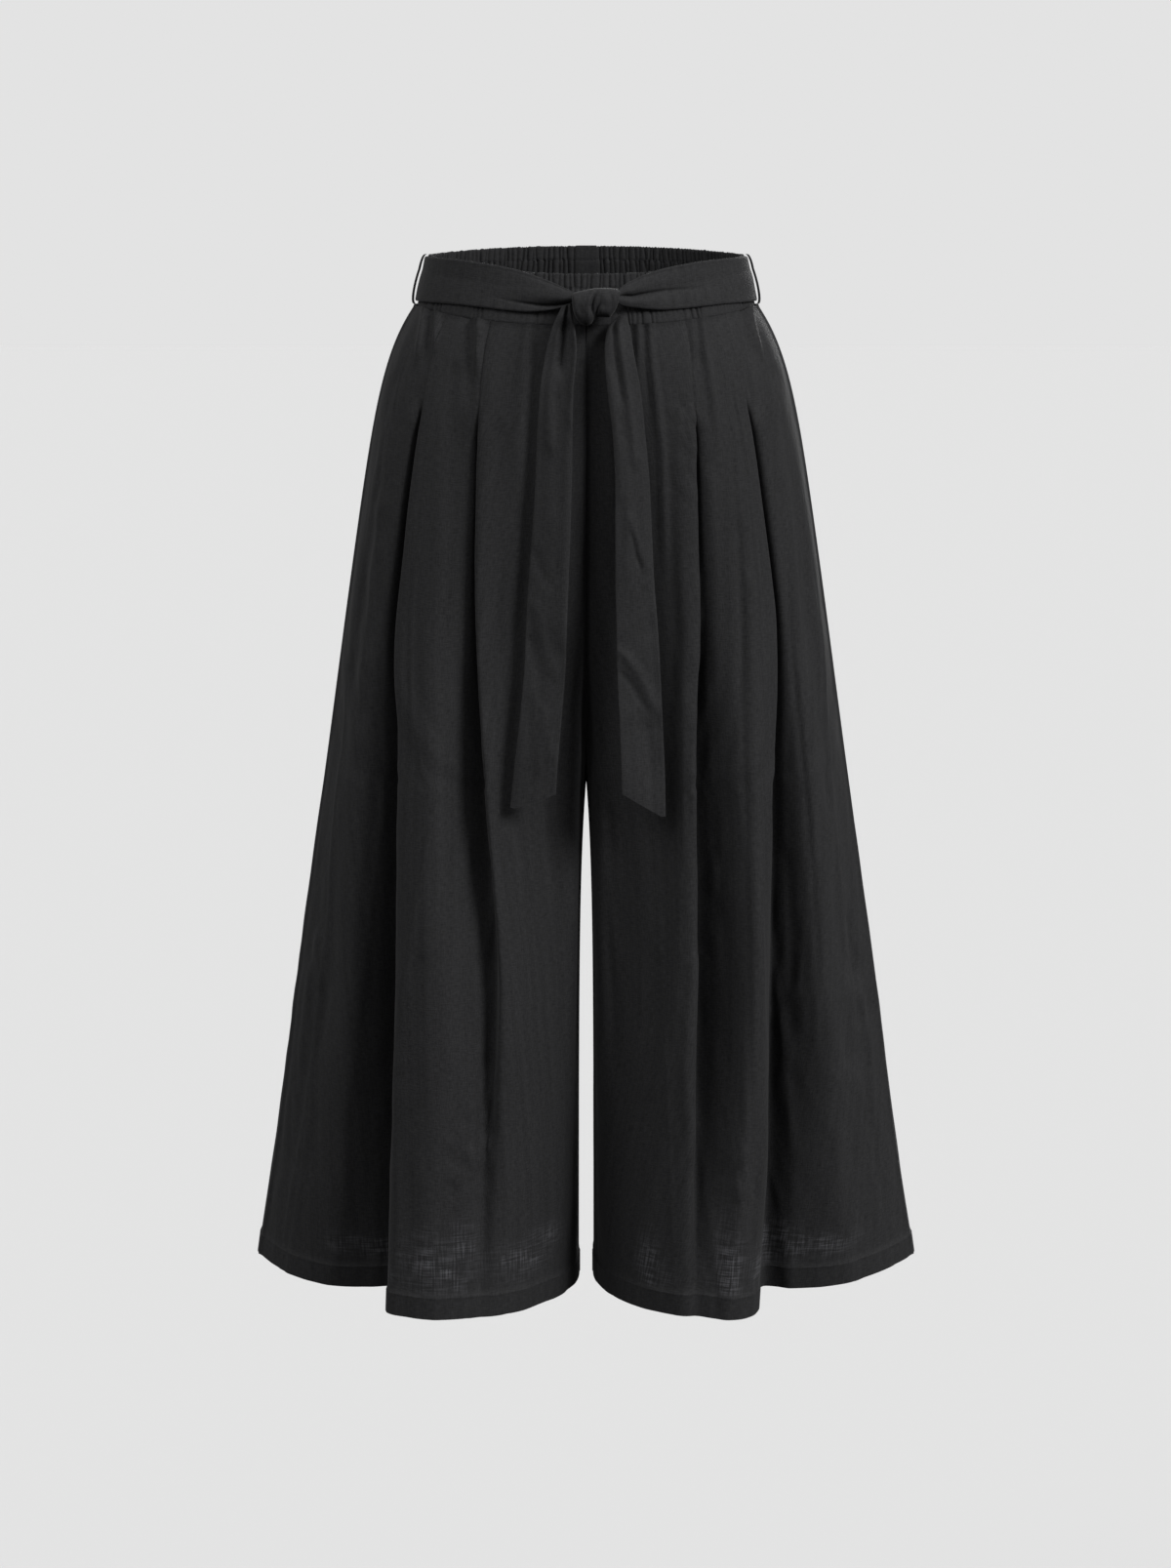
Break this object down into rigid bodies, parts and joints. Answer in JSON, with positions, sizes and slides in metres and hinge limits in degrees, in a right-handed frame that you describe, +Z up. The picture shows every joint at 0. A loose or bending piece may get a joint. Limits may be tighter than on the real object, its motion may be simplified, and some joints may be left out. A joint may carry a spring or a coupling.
{
  "type": "hakama-style linen culotte with tied sash",
  "caption": "Wide-leg linen culotte in the hakama style, shown as worn: shirred waistband under a tied sash, stitched-down front pleats, flared legs.",
  "frame": {"origin": "centre of the waist opening, halfway up the waistband, where the wearer's waist holds the garment", "axes": "+X to the viewer's right seen from the front, +Y to the back, +Z up along the body; the front faces -Y"},
  "size_m": [0.585, 0.289, 0.902],
  "materials": {
    "linen": "matt charcoal plain-weave linen, slightly slubbed",
    "waistband_linen": "the same linen, gathered on elastic with two rows of stitching",
    "sash_linen": "the same linen, doubled, pressed and softly creased"
  },
  "bodies": {
    "root": {"front_left": "linen", "front_right": "linen", "back_left": "linen", "back_right": "linen", "waistband_front": "waistband_linen", "waistband_back": "waistband_linen", "belt_band": "sash_linen", "belt_knot": "sash_linen", "belt_tail_left": "sash_linen", "belt_tail_right": "sash_linen", "belt_loop_left": "waistband_linen", "belt_loop_right": "waistband_linen"}
  },
  "joints": []
}
